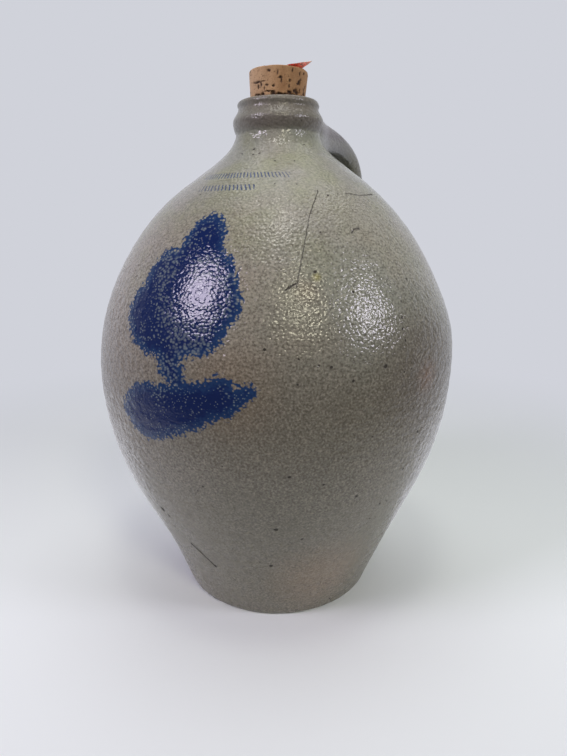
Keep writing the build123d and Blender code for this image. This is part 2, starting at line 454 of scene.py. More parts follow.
SCRATCHES = (
    ((-38.0, 58.4), (-34.6, 51.8), (-32.0, 46.6), (-29.4, 41.6)),
)
CUT_REACH = 2.6
LINE_END = 1.2


def flat_places(grid, angles):
    """Places on the unrolled front: arc length right of the front at the figure's radius, and height."""
    arcs = np.radians(wrapped(np.degrees(angles) - FRONT)) * FIGURE_RADIUS
    return np.stack((np.broadcast_to(arcs, grid.shape[:2]), grid[..., 2]), axis=-1).reshape(-1, 2)


def unrolled(points):
    """Points given by angle and height, on the unrolled front."""
    points = np.array(points, float)
    return np.stack((np.radians(points[:, 0]) * FIGURE_RADIUS, points[:, 1]), axis=1)


def step_gaps(places, starts, ends):
    """Ways to each place from each straight step's nearest point and from its start, and the steps' runs."""
    runs = ends - starts
    ways = places[:, None] - starts
    shares = np.clip((ways * runs).sum(-1) / (runs**2).sum(-1), 0, 1)
    return ways - shares[..., None] * runs, ways, runs


def within(places, outline, reach):
    """1 well inside a closed outline, 0.5 on it and 0 outside, over a reach each way.

    The distance is the least to any step of the outline. A place is inside where a level line from it crosses
    the outline an odd number of times.
    """
    starts = smooth_curve([*outline, outline[0]], count=140)[:-1]
    ends = np.roll(starts, -1, axis=0)
    near = np.all((places > starts.min(0) - reach) & (places < starts.max(0) + reach), axis=1)
    inside = np.zeros(len(places))
    gaps, _, runs = step_gaps(places[near], starts, ends)
    least = np.linalg.norm(gaps, axis=-1).min(1)
    level = places[near, 1, None]
    spans = (starts[:, 1] > level) != (ends[:, 1] > level)
    crossing = starts[:, 0] + (level - starts[:, 1]) / (ends[:, 1] - starts[:, 1] + 1e-9) * runs[:, 0]
    odd = (spans & (crossing > places[near, 0, None])).sum(1) % 2 == 1
    inside[near] = np.clip(0.5 + np.where(odd, least, -least) / reach / 2, 0, 1)
    return inside


def beside(places, lines, reach):
    """Signed distance to the nearest line, its nearness from 1 on it to 0 at a reach, and the plain distance.

    The sign is the side of the line's nearest step. Nearness falls past the line's own ends too.
    """
    found = np.tile((np.inf, 0.0, 0.0), (len(places), 1))
    row = np.arange(len(places))
    for line in lines:
        line = smooth_curve(unrolled(line), count=24)
        gaps, ways, runs = step_gaps(places, line[:-1], line[1:])
        distances = np.linalg.norm(gaps, axis=-1)
        step = distances.argmin(1)
        least = distances[row, step]
        run = runs[step] / np.linalg.norm(runs[step], axis=1)[:, None]
        side = run[:, 0] * ways[row, step, 1] - run[:, 1] * ways[row, step, 0]
        past = np.sqrt(np.maximum(least**2 - side**2, 0))
        near = np.clip(1 - least / reach, 0, 1) * np.clip(1 - past / LINE_END, 0, 1)
        closer = least < found[:, 0]
        found[closer] = np.stack((least, side, near), axis=1)[closer]
    return np.roll(found, -1, axis=1)


def coggled(places):
    """Slanted arc length along the nearest row of wheel marks, distance across it, and 1 on it, else 0."""
    heights, firsts, lasts = np.array(COGGLE_ROWS, float).T
    across = (places[:, 1, None] - heights) * COGGLE_SLOPE
    nearest = np.abs(across).argmin(1)
    across = across[np.arange(len(places)), nearest]
    arcs = places[:, 0]
    right = np.degrees(arcs / FIGURE_RADIUS)
    on = (right > firsts[nearest]) & (right < lasts[nearest])
    return np.stack((arcs + COGGLE_SLANT * across, np.abs(across), on), axis=1)


def store(piece, name, values):
    """Keeps a value or a vector for each point of a piece, with zeros for its poles."""
    kind, field = ("FLOAT", "value") if values.ndim == 1 else ("FLOAT_VECTOR", "vector")
    kept = np.zeros((len(piece.data.vertices), *values.shape[1:]), np.float32)
    kept[: len(values)] = values
    piece.data.attributes.new(name, kind, "POINT").data.foreach_set(field, kept.ravel())


def thrown_section(node, outline, coats, ring=False):
    """A thrown section: its outline turned and moved out by the relief, then coated, painted and damaged."""
    points, squares, shares, coat = outline
    angles = round_angles(COLUMNS)
    grid = turned(points, angles)
    raised = relief(angles, grid) * shares[:, None]
    grid = wandered(grid + raised[..., None] * turned(squares, angles))
    piece = mesh_piece(node + "_glazed", grid, "jug", node, coats, ring)
    face_coats = np.roll(coat, -1) if ring else np.concatenate((coat[1:], coat[[0, -1]]))
    piece.data.polygons.foreach_set("material_index", np.repeat(face_coats, COLUMNS).astype(np.int32))
    places = flat_places(grid, angles)
    glazed = np.repeat(coat == GLAZE, COLUMNS)
    figure = np.maximum(*(within(places, unrolled(shape), FIGURE_REACH) for shape in (TREE, MOUND)))
    marks = {
        "cobalt_figure": figure,
        "thin_strokes": beside(places, THIN_STROKES, THIN_REACH)[:, 1],
        "coggle_rows": coggled(places),
        "hairlines": beside(places, HAIRLINES, CUT_REACH),
        "nicks": beside(places, NICKS, CUT_REACH),
        "scratches": beside(places, SCRATCHES, CUT_REACH),
    }
    for name, values in marks.items():
        store(piece, name, (values.T * glazed).T)


def colour(code):
    """A colour written as sRGB hex, made linear: each share over 12.92, or raised to 2.4 above the toe."""
    shares = np.array([int(code[place : place + 2], 16) for place in (1, 3, 5)]) / 255
    linear = np.where(shares <= 0.04045, shares / 12.92, ((shares + 0.055) / 1.055) ** 2.4)
    return (*linear.tolist(), 1.0)


def cells(size):
    """Texture scale, in cells a metre, of a pattern whose cells have a size in millimetres."""
    return 1 / (size * MM)


def add(tree, kind, inputs=(), give=0, **settings):
    """Adds a shader node with its settings, sets or links its inputs, and gives an output or a slice of them.

    Inputs come in the order of the node's sockets, or by their names or places.
    """
    made = tree.nodes.new("ShaderNode" + kind)
    for name, value in settings.items():
        setattr(made, name, value)
    for place, value in inputs.items() if isinstance(inputs, dict) else enumerate(inputs):
        if isinstance(value, bpy.types.NodeSocket):
            tree.links.new(value, made.inputs[place])
        else:
            made.inputs[place].default_value = value
    return made.outputs[give]


def blank_material(name):
    """A material with an empty node tree, that tree, and places in the piece's own coordinates."""
    made = bpy.data.materials.new(name)
    made.use_nodes = True
    made.node_tree.nodes.clear()
    return made, made.node_tree, add(made.node_tree, "TexCoord", give="Object")


# Every output of a node, and the places of a Mix node's colour inputs and output
ALL = slice(None)
MIX, FIRST, SECOND, MIXED = 0, 6, 7, 2


def laid(tree, ground, coats):
    """Coats of colour laid on a ground one after another, each by its share."""
    body = colour(ground)
    for share, tint in coats:
        tint = colour(tint) if isinstance(tint, str) else tint
        body = add(tree, "Mix", {MIX: share, FIRST: body, SECOND: tint}, MIXED, data_type="RGBA")
    return body


def dress(tree, ground, coats, rough, lumps, rise, strength, more=()):
    """Ends a material: its coats laid on its ground, a relief of lumps, and the shader."""
    normal = add(tree, "Bump", {"Strength": strength, "Distance": rise, "Height": lumps})
    settings = {"Base Color": laid(tree, ground, coats), "Roughness": rough, "Normal": normal, **dict(more)}
    shader = add(tree, "BsdfPrincipled", settings)
    add(tree, "OutputMaterial", {"Surface": shader}, ALL)


def wall_points(places):
    """Points in metres on the jug's wall, from places that start with degrees right of front and height."""
    right, heights = np.array([place[:2] for place in places], float).T
    angles = np.radians(FRONT + right)
    ways = np.stack((np.cos(angles), np.sin(angles), 0 * angles), axis=1)
    points = np.interp(heights, outer_line[:, 1], outer_line[:, 0])[:, None] * ways
    points[:, 2] = heights
    return wandered(points + relief(angles, points)[:, None] * ways) * MM


# Iron pits that show on the front: degrees right, height, size
IRON_PITS = (
    (3.6, 126.8, 1.1), (-0.3, 87.0, 1.4), (8.7, 77.6, 1.1), (-2.8, 52.0, 1.4), (-21.1, 117.0, 0.7),
    (13.2, 120.1, 0.9), (24.6, 107.5, 1.1), (-44.2, 84.6, 2.1), (-14.4, 132.6, 0.6), (30.5, 7.5, 1.0),
    (34.3, 83.0, 0.7), (41.5, 117.2, 0.8), (11.4, 237.6, 1.0), (22.1, 226.9, 0.8), (29.2, 187.0, 1.1),
    (19.5, 180.8, 0.9), (5.1, 180.6, 0.9), (37.3, 212.0, 1.0), (36.7, 205.7, 0.8), (38.8, 219.9, 0.8),
    (10.6, 190.8, 0.7), (38.2, 183.0, 0.9), (35.7, 181.9, 0.7), (44.7, 231.5, 0.7), (-42.0, 81.0, 1.1),
    (-29.6, 42.2, 1.2), (17.6, 136.8, 0.6), (36.6, 117.7, 0.8), (39.3, 124.8, 0.7), (44.2, 141.7, 1.0),
    (35.9, 94.5, 0.9), (39.7, 94.1, 0.7), (51.5, 84.9, 0.9), (-23.0, 112.9, 0.6), (0.3, 109.4, 0.6),
    (-20.5, 32.6, 0.6), (-24.7, 307.6, 0.8), (-17.0, 304.5, 0.8), (-22.4, 303.9, 0.7), (-36.4, 304.9, 0.7),
    (-1.9, 298.9, 0.9), (13.0, 299.1, 0.9), (30.2, 310.2, 0.8), (61.8, 306.3, 0.7), (-1.5, 284.6, 0.6),
    (10.0, 284.5, 0.6), (23.7, 278.2, 0.8), (-40.0, 279.3, 0.9),
)
PIT_EDGE = (1.15, 0.7)

# Patches of colour on the front: degrees right, height, full radius, radius where it ends, share, colour
GLAZE_PATCHES = (
    (20.0, 38.0, 12.0, 42.0, 0.5, "#A38D77"),
    # The next patch is partly the glaze's own brown and partly painted shade on the right belly
    (48.0, 182.0, 18.0, 54.0, 0.65, "#665C52"),
    (33.0, 255.0, 2.0, 9.0, 0.3, "#85795A"),
    (8.5, 228.0, 2.0, 9.0, 0.4, "#7C6650"),
    (11.6, 235.0, 0.8, 3.2, 0.6, "#A6A050"),
    (-12.0, 178.0, 10.0, 34.0, 0.3, "#8B7358"),
    (6.0, 210.0, 12.0, 34.0, 0.3, "#7C7663"),
    (46.0, 176.0, 2.0, 13.0, 0.5, "#8C6A52"),
    # The last patch is painted light where light from above and the right falls on the shoulder
    (38.0, 262.0, 8.0, 44.0, 0.5, "#B2B0A2"),
)

# Cuts in the glaze, by the attribute that holds their lines: half width, darkness
CUTS = (("hairlines", 0.3, 0.8), ("nicks", 0.5, 0.85), ("scratches", 0.95, 1.0))

# Rise of the orange peel, and what is left of it under the glassier cobalt
PEEL_RISE = 0.28
COBALT_RISE = 0.17

# Sizes of the glaze's patterns; real grit is finer, and is drawn as coarse as it needs to show
BEAD, GRIT, BRUSH_FRAY, RIPPLE, STIRRING = 1.9, 1.3, 3.2, 3.8, 7.0
SPECK_CELL, COBALT_DRIFT, GLAZE_PATCH, CLAY_DRIFT = 11.0, 17.0, 22.0, 75.0

# Heights in metres between which the glaze changes, and ways to the right of the middle likewise
LOWER_WALL, BELLY, BELLY_TOP = (0.1, 0.2), (0.225, 0.165), (0.225, 0.25)
SHOULDER, NECK, COLLAR, LIP = (0.2, 0.29), (0.25, 0.31), (0.312, 0.326), (0.322, 0.332)
TREE_TRUNK = (0.176, 0.2)
LEFT_SIDE, DARK_COLLAR_SIDE, FLANKS = (-0.02, -0.11), (-0.03, -0.012), (0.055, 0.105)


def glaze_patterns(tree, place):
    """Patterns that the glaze's colours and relief share, as sockets.

    Beads are smooth cells, stirred by noise and a little flattened. Grit, patches and drifts are noise. The
    grit fades up the neck, and the orange peel down the lower wall.
    """
    stir = add(tree, "TexNoise", {"Vector": place, "Scale": cells(STIRRING), "Detail": 1.0}, "Color")
    stir = add(tree, "VectorMath", (stir, (0.5,) * 3), operation="SUBTRACT")
    stirred = add(tree, "VectorMath", (stir, (2.2 * MM,) * 3, place), operation="MULTIPLY_ADD")
    flattened = add(tree, "Mapping", {"Vector": stirred, "Scale": (1, 1, 1.25)})
    beads = {"Vector": flattened, "Scale": cells(BEAD), "Smoothness": 0.5}
    height = add(tree, "SeparateXYZ", (place,), "Z")
    return SimpleNamespace(
        place=place,
        stirred=stirred,
        flattened=flattened,
        height=height,
        rightward=add(tree, "VectorMath", (place, tuple(RIGHT_WAY)), "Value", operation="DOT_PRODUCT"),
        bead=add(tree, "TexVoronoi", beads, feature="SMOOTH_F1"),
        grit=add(tree, "TexNoise", {"Vector": place, "Scale": cells(GRIT), "Detail": 2.0}),
        patch=add(tree, "TexNoise", {"Vector": stirred, "Scale": cells(GLAZE_PATCH), "Detail": 4.0}),
        drift=add(tree, "TexNoise", {"Vector": place, "Scale": cells(CLAY_DRIFT), "Detail": 3.0}),
        gritty=add(tree, "MapRange", (height, *NECK, 1.0, 0.35)),
        peel=add(tree, "MapRange", (height, *LOWER_WALL, 0.5, 1.0)),
    )


def spot_gaps(tree, at, spots):
    """Each spot of the wall, with the distance from it, which stirring makes ragged."""
    for point, spot in zip(wall_points(spots), spots):
        yield add(tree, "VectorMath", (at.stirred, tuple(point)), "Value", operation="DISTANCE"), spot


def clay_coats(tree, at, decorated):
    """Colours of the fired clay from the ground up, each with its share.

    Tan drifts, a pinker left side, olive patches on the shoulder, a darker lower half that is partly the
    glaze's own tone and partly painted shade, with less of it on the left where painted light falls, the
    front's patches, among them a dark one on the right belly that is partly painted shade and a pale one
    of painted light on the right shoulder, a brown lip, a darker band under the ring's crest that is painted
    shade, and grit, dark in the hollows and pale on the grains.
    """
    tan = add(tree, "MapRange", (at.drift, 0.42, 0.68))
    left = add(tree, "MapRange", (at.rightward, *LEFT_SIDE, 0.0, 0.7))
    band = add(tree, "MapRange", (at.height, *SHOULDER))
    band = add(tree, "MapRange", (at.height, *COLLAR[::-1], 0.0, band))
    olive = add(tree, "MapRange", (at.patch, 0.4, 0.7, 0.0, band))
    # Darker lower half: partly the glaze's own tone and partly painted shade, less on the left by painted
    # light
    shaded = add(tree, "MapRange", (left, 0.0, 1.0, 0.9, 0.2))
    low_tone_and_shade = add(tree, "MapRange", (at.height, *BELLY, 0.0, shaded), interpolation_type="SMOOTHSTEP")
    coats = [(tan, "#9B9586"), (left, "#9C908A"), (olive, "#94977B"), (low_tone_and_shade, "#7E796B")]
    if decorated:
        for gap, (*_, full, ends, share, tint) in spot_gaps(tree, at, GLAZE_PATCHES):
            coats.append((add(tree, "MapRange", (gap, ends * MM, full * MM, 0.0, share)), tint))
    darkened_side = add(tree, "MapRange", (at.rightward, *DARK_COLLAR_SIDE, 0.4, 1.0))
    lip = add(tree, "MapRange", (at.height, *LIP, 0.0, 0.65))
    # Painted shade: a darker band on the ring's down-facing lower half, just under its crest
    ring_gap = add(tree, "Math", (at.height, (RING_HEIGHT - 3.0) * MM), operation="SUBTRACT")
    ring_gap = add(tree, "Math", (ring_gap,), operation="ABSOLUTE")
    ring = add(tree, "MapRange", (ring_gap, 5.2 * MM, 2.2 * MM, 0.0, 0.7))
    for share, tint in ((lip, "#6C655B"), (ring, "#675F59")):
        coats.append((add(tree, "Math", (share, darkened_side), operation="MULTIPLY"), tint))
    hollow = add(tree, "MapRange", (at.bead, 0.35, 0.75, 0.0, 0.25))
    dark = add(tree, "MapRange", (at.grit, 0.52, 0.36, 0.0, 0.6))
    dark = add(tree, "Math", (dark, at.gritty), operation="MULTIPLY")
    dark = add(tree, "Math", (hollow, dark), operation="MAXIMUM")
    pale = add(tree, "MapRange", (at.grit, 0.55, 0.68, 0.0, 0.35))
    pale = add(tree, "Math", (pale, at.gritty), operation="MULTIPLY")
    return [*coats, (dark, "#4E483E"), (pale, "#B9B2A2")]


def iron_share(tree, at, decorated):
    """Share of iron: specks, each a ball whose size its cell draws, and the pits of the front."""
    specks = {"Vector": at.place, "Scale": cells(SPECK_CELL)}
    gap, drawn = add(tree, "TexVoronoi", specks, slice(2), feature="F1")
    rare = add(tree, "SeparateXYZ", (drawn,), "X")
    size = add(tree, "MapRange", (rare, 0.45, 1.0, 0.0, 0.085))
    iron = add(tree, "Math", (gap, size), operation="LESS_THAN")
    if decorated:
        for gap, (*_, across) in spot_gaps(tree, at, IRON_PITS):
            pit = add(tree, "MapRange", (gap, *(edge * across * MM for edge in PIT_EDGE)))
            iron = add(tree, "Math", (iron, pit), operation="MAXIMUM")
    return add(tree, "Math", (iron, 0.9), operation="MULTIPLY")


def cobalt_coat(tree, at, frayed):
    """Share of the brushed cobalt, frayed by noise and beads, and its blue, deep inside, worn off the beads.

    It is worn most along the thin strokes, and above the trunk.
    """
    figure = add(tree, "Attribute", give="Fac", attribute_name="cobalt_figure")
    edge = add(tree, "Math", (frayed, 0.22, figure), operation="MULTIPLY_ADD")
    edge = add(tree, "Math", (at.bead, 0.26, edge), operation="MULTIPLY_ADD")
    cover = add(tree, "MapRange", (edge, 0.68, 0.74))
    depth = add(tree, "MapRange", (edge, 0.72, 1.0))
    wear = add(tree, "TexNoise", {"Vector": at.place, "Scale": cells(COBALT_DRIFT), "Detail": 2.0})
    stroke = add(tree, "Attribute", give="Fac", attribute_name="thin_strokes")
    wear = add(tree, "Math", (stroke, 0.3, wear), operation="MULTIPLY_ADD")
    above = add(tree, "MapRange", (at.height, *TREE_TRUNK, 0.05, 0.15))
    wear = add(tree, "Math", (wear, above), operation="ADD")
    worn = add(tree, "MapRange", (wear, 0.45, 0.8, 0.15, 0.6))
    thin = add(tree, "MapRange", (at.bead, worn, 0.08, 0.0, 0.68))
    return cover, laid(tree, "#254169", [(depth, "#152656"), (thin, "#8E9A98")])


def wheel_ticks(tree, frayed):
    """Share of the wheel's slanted ticks: a to-and-fro wave along each row, within the row's band."""
    rows = add(tree, "Attribute", give="Vector", attribute_name="coggle_rows")
    along, across, on = add(tree, "SeparateXYZ", (rows,), ALL)
    slant = add(tree, "Math", (frayed, 2.4, along), operation="MULTIPLY_ADD")
    wave = add(tree, "Math", (slant, COGGLE_PITCH / 2), operation="PINGPONG")
    tick = add(tree, "MapRange", (wave, 1.0, 0.5, 0.0, on))
    return add(tree, "MapRange", (across, 3.0, 2.2, 0.0, tick))


def cut_shares(tree, at):
    """Share of each kind of cut: full near its line, which grit makes ragged, and none past its ends."""
    shares = []
    for kind, width, darkness in CUTS:
        lines = add(tree, "Attribute", give="Vector", attribute_name=kind)
        aside, near = add(tree, "SeparateXYZ", (lines,), slice(2))
        aside = add(tree, "Math", (at.grit, 1.6, aside), operation="MULTIPLY_ADD")
        aside = add(tree, "Math", (aside, 0.8), operation="SUBTRACT")
        aside = add(tree, "Math", (aside,), operation="ABSOLUTE")
        near = add(tree, "MapRange", (near, 0.1, 0.5, 0.0, darkness))
        shares.append(add(tree, "MapRange", (aside, 1.4 * width, 0.6 * width, 0.0, near)))
    return shares


def strap_coat(tree, at):
    """Share and colour of the greyer glass on the strap: darker further out, none on the smeared clay."""
    out = add(tree, "SeparateXYZ", (at.place,), "X")
    # Painted light and shade: paler near the neck, darker further out
    lit_root = add(tree, "MapRange", (out, 0.055, 0.03))
    smeared = add(tree, "Attribute", give="Fac", attribute_name="smeared")
    share = add(tree, "MapRange", (smeared, 0.0, 1.0, 0.5, 0.0))
    return share, laid(tree, "#716D75", [(lit_root, "#9C99A0")])


def glaze_lumps(tree, at, dips):
    """Height of the glaze: beads that fall with the square of distance, grit, ripples on the flanks, dips."""
    rounded = add(tree, "Math", (at.bead, 2.0), operation="POWER")
    lumps = add(tree, "Math", (rounded, -1.1, 0.8), operation="MULTIPLY_ADD")
    lumps = add(tree, "Math", (lumps, at.peel), operation="MULTIPLY")
    grains = add(tree, "Math", (at.grit, at.gritty), operation="MULTIPLY")
    sand = add(tree, "MapRange", (at.height, *BELLY_TOP, 0.3, 0.6))
    ripple = add(tree, "TexNoise", {"Vector": at.flattened, "Scale": cells(RIPPLE), "Detail": 0.0})
    swell = add(tree, "MapRange", (at.height, *BELLY_TOP, 0.6, 0.2))
    flank = add(tree, "Math", (at.rightward,), operation="ABSOLUTE")
    flank = add(tree, "MapRange", (flank, *FLANKS, 1.0, 5.0))
    swell = add(tree, "Math", (swell, flank), operation="MULTIPLY")
    for part, rise in ((grains, sand), (ripple, swell), *dips):
        lumps = add(tree, "Math", (part, rise, lumps), operation="MULTIPLY_ADD")
    return lumps


def salt_glaze(name, decorated):
    """Salt-glazed stoneware: clay fired grey and buff under a thin glass that beads into orange peel.

    The eye gets a pebbled gloss that breaks each light into curls, greys that drift to tan, olive and brown,
    iron specks, and, where decorated, cobalt that is thick in the hollows and thin on the beads.
    """
    material, tree, place = blank_material(name)
    at = glaze_patterns(tree, place)
    iron = iron_share(tree, at, decorated)
    coats = [*clay_coats(tree, at, decorated), (iron, "#29231D")]
    dips = [(iron, -0.5)]
    dull = [iron]
    rise = PEEL_RISE * MM
    gloss = add(tree, "MapRange", (at.patch, 0.3, 0.7, 0.36, 0.46))
    rough = add(tree, "Math", (at.peel, -0.27, gloss), operation="MULTIPLY_ADD")
    satin = add(tree, "MapRange", (at.height, *COLLAR, 0.0, 0.14))
    rough = add(tree, "Math", (rough, satin), operation="ADD")
    if decorated:
        frayed = add(tree, "TexNoise", {"Vector": at.place, "Scale": cells(BRUSH_FRAY), "Detail": 2.0})
        cover, blue = cobalt_coat(tree, at, frayed)
        rise = add(tree, "MapRange", (cover, 0.0, 1.0, PEEL_RISE * MM, COBALT_RISE * MM))
        clear = add(tree, "MapRange", (cover, 0.0, 1.0, 1.0, 0.8))
        rough = add(tree, "Math", (rough, clear), operation="MULTIPLY")
        tick = wheel_ticks(tree, frayed)
        wash = add(tree, "MapRange", (at.patch, 0.35, 0.6, 0.6, 1.0))
        wash = add(tree, "Math", (tick, wash), operation="MULTIPLY")
        cuts = cut_shares(tree, at)
        coats += [(cover, blue), (wash, "#2C4168"), *((cut, "#241E19") for cut in cuts)]
        dips += [(tick, -0.3), *((cut, -0.4) for cut in cuts)]
        dull += cuts
    else:
        coats.append(strap_coat(tree, at))
    for share in dull:
        rough = add(tree, "Math", (rough, share), operation="MAXIMUM")
    dress(tree, "#979A8D", coats, rough, glaze_lumps(tree, at, dips), rise, 1.0, {"IOR": 1.5})
    return material


def brown_slip():
    """Brown slip poured inside before firing: a dark, smooth gloss with a little pooling."""
    material, tree, place = blank_material("brown_slip_lining")
    pool = add(tree, "TexNoise", {"Vector": place, "Scale": cells(18), "Detail": 3.0})
    dress(tree, "#2B1B12", [(pool, "#5A3B25")], 0.3, pool, 0.2 * MM, 0.6)
    return material


def bare_clay():
    """Unglazed fired clay on the foot and the rims: dry, buff, gritty, and marked by the cutting wire."""
    material, tree, place = blank_material("bare_stoneware_clay")
    grit = add(tree, "TexNoise", {"Vector": place, "Scale": cells(1.2), "Detail": 4.0})
    rings = {"Vector": place, "Scale": cells(9), "Distortion": 3.0, "Detail": 1.0}
    wire = add(tree, "TexWave", rings, "Fac", wave_type="RINGS")
    lumps = add(tree, "Math", (wire, 0.7, grit), operation="MULTIPLY_ADD")
    dress(tree, "#8E8272", [(grit, "#B5A792")], 0.85, lumps, 0.25 * MM, 0.7)
    return material


def cork_bark():
    """Natural cork: warm tan grain with brown flecks, and dark crumbly pores where the bark breathed."""
    material, tree, place = blank_material("natural_cork")
    long_way = add(tree, "Mapping", {"Vector": place, "Scale": (1, 1, 0.45)})
    growth = add(tree, "TexNoise", {"Vector": long_way, "Scale": cells(4.5), "Detail": 4.0})
    crumb = add(tree, "TexVoronoi", {"Vector": place, "Scale": cells(0.9)}, feature="F1")
    speck = add(tree, "TexNoise", {"Vector": place, "Scale": cells(1.1), "Detail": 2.0})
    across = add(tree, "VectorMath", (place, tuple(RIGHT_WAY)), "Value", operation="DOT_PRODUCT")
    # Painted light: the cork is paler on its left, where the light falls
    pale = add(tree, "MapRange", (across, 0.003, -0.017, 0.0, 0.6))
    fleck = add(tree, "MapRange", (speck, 0.42, 0.26, 0.0, 0.7))
    pore = add(tree, "Attribute", give="Fac", attribute_name="pores")
    coats = [(growth, "#C59D70"), (pale, "#DDBE97"), (fleck, "#5C3B24"), (pore, "#2E1A0F")]
    lumps = add(tree, "Math", (crumb, 0.5, growth), operation="MULTIPLY_ADD")
    dress(tree, "#89613B", coats, 0.82, lumps, 0.25 * MM, 0.8)
    return material


def red_paper():
    """Thin dyed paper: a soft red that lets some light through, paler towards its free end.

    Its fibre is drawn as coarse as it needs to show.
    """
    material, tree, place = blank_material("red_dyed_paper")
    fibre = add(tree, "TexNoise", {"Vector": place, "Scale": cells(1.1), "Detail": 3.0})
    # Painted light: paler towards the lifted free end, as if lit through
    free = add(tree, "Attribute", give="Fac", attribute_name="lit_free_end")
    through = {"Subsurface Weight": 0.5, "Subsurface Radius": (1.0, 0.35, 0.3), "Subsurface Scale": 1.5 * MM}
    dress(tree, "#E4705E", [(fibre, "#EE8877"), (free, "#FFBBAC")], 0.6, fibre, 0.05 * MM, 0.2, through)
    return material


# Strap handle: its middle line leaves the neck level and comes down on the shoulder. The section is width,
# thickness and edge round, a swell is added width, added thickness and reach, and unevenness is height, size
# and seed
HANDLE_ROOT = (WAIST_RADIUS, RING_HEIGHT - 6.6)
HANDLE_REACH = WAIST_RADIUS + 58.5
HANDLE_STAND = 20.0
HANDLE_BEND_OUT = 46.0
HANDLE_BEND_DOWN = 24.0
HANDLE_BED = 6.0
HANDLE_FOOT_BED = 16.0
HANDLE_SECTION = (35.0, 11.5, 4.8)
ROOT_SWELL = (7.0, 10.5, 60.0)
FOOT_SWELL = (6.0, 4.5, 34.0)
LUTE_SPREAD = 5.0
LUTE_REACH = 11.0
ROOT_WRAP = 26.0
SMEAR_DEPTH = 4.0
STRAP_COLUMNS = 88
STRAP_ROWS = 130
GROOVE_DEPTH = 0.55
GROOVE_WAVES = 2.5
STRAP_UNEVEN = ((0.22, 14.0, 21), (0.06, 5.0, 22))
UNEVEN_WAY = np.array((0.6, 0.5, 0.6))


def below_wall(points):
    """Depth of points under the outer line of shoulder and neck, and the way out of its nearest place."""
    wall = np.vstack((shoulder_line, collar_line[1:]))[::3]
    radius = np.hypot(points[..., 0], points[..., 1])
    place = np.stack((radius, points[..., 2]), axis=-1)
    nearest = ((place[..., None, :] - wall) ** 2).sum(-1).argmin(-1)
    out = right_of(wall)[nearest]
    depth = -((place - wall[nearest]) * out).sum(-1)
    round_way = points[..., :2] / radius[..., None]
    return depth, np.concatenate((out[..., :1] * round_way, out[..., 1:]), axis=-1)


def strap_handle(glaze):
    """The pulled strap: a rounded section carried along its line, swelling by square laws towards both roots.

    The line is a cubic bend that leaves the neck level and ends upright, then runs straight down. Fingers
    left two shallow grooves along the back, which are a cosine across the strap. At the neck its edges are
    drawn back by the neck's own roundness. Where it meets the jug it spreads along the wall, with the square
    of what is left of a reach above it, as clay smeared by a thumb. Under the shoulder its points are held at
    one depth, as clay pressed flat there.
    """
    root = np.array(HANDLE_ROOT)
    drop = np.interp(-HANDLE_REACH, -shoulder_line[:, 0], shoulder_line[:, 1])
    turn = np.array((HANDLE_REACH, drop + HANDLE_STAND))
    t = np.linspace(0, 1, 400)[:, None]
    bend = (1 - t) ** 3 * root + 3 * (1 - t) ** 2 * t * (root + (HANDLE_BEND_OUT, 0))
    bend = bend + 3 * (1 - t) * t**2 * (turn + (0, HANDLE_BEND_DOWN)) + t**3 * turn
    line = np.vstack((root - (HANDLE_BED, 0), bend, (HANDLE_REACH, drop - HANDLE_FOOT_BED)))
    line = spread(line, STRAP_ROWS)
    ahead = ahead_of(line)
    step = np.linalg.norm(line[1] - line[0])
    from_root = np.arange(STRAP_ROWS) * step - HANDLE_BED
    from_foot = from_root[-1] - HANDLE_FOOT_BED - from_root

    def swollen(size, part):
        """Half of the width or the thickness along the line, with its swellings."""
        for distance, swell in ((from_root, ROOT_SWELL), (from_foot, FOOT_SWELL)):
            size = size + swell[part] * np.clip(1 - distance / swell[2], 0, 1) ** 2
        return size[:, None] / 2

    width, thickness, edge = HANDLE_SECTION
    half = np.array((width, thickness)) / 2
    corners = [
        arc((x, y) * (half - edge), edge, start, start + 90, 20)
        for x, y, start in ((1, 1, 0), (-1, 1, 90), (-1, -1, 180), (1, -1, 270))
    ]
    section = spread(np.vstack((*corners, corners[0][:1])), STRAP_COLUMNS + 1)[:-1] / half
    aside = section[:, 0] * swollen(width, 0)
    back = np.clip(section[:, 1], 0, 1) * (1 - section[:, 0] ** 2)
    back = back * np.cos(np.pi * GROOVE_WAVES * section[:, 0])
    raised = section[:, 1] * swollen(thickness, 1) + GROOVE_DEPTH * back
    out, up = line[:, :1] - ahead[:, 1:] * raised, line[:, 1:] + ahead[:, :1] * raised
    grid = np.stack((out, aside, up), axis=-1)
    uneven = sum(height * grain(grid, size, seed) for height, size, seed in STRAP_UNEVEN)
    grid = grid + uneven[..., None] * UNEVEN_WAY
    hug = WAIST_RADIUS - np.sqrt(np.clip(WAIST_RADIUS**2 - grid[..., 1] ** 2, 0, None))
    grid[..., 0] -= hug * np.clip(1 - from_root / ROOT_WRAP, 0, 1)[:, None] ** 1.5
    depth, out = below_wall(grid)
    arm = grid - np.stack((line[:, 0], 0 * line[:, 0], line[:, 1]), axis=1)[:, None]
    arm -= (arm * out).sum(-1, keepdims=True) * out
    arm /= np.linalg.norm(arm, axis=-1, keepdims=True) + 1e-9
    smeared = np.clip(1 + depth / LUTE_REACH, 0, 1) ** 2
    spread_by = LUTE_SPREAD * smeared * (1 + 0.3 * grain(grid, 9.0, 23))
    grid = grid + spread_by[..., None] * arm
    foot_rows = from_foot < HANDLE_STAND
    depth, out = below_wall(grid[foot_rows])
    grid[foot_rows] += np.clip(depth - SMEAR_DEPTH, 0, None)[..., None] * out
    piece = mesh_piece("strap_handle_glazed", wandered(grid), "jug", "strap_handle", [glaze])
    store(piece, "smeared", smeared.ravel())


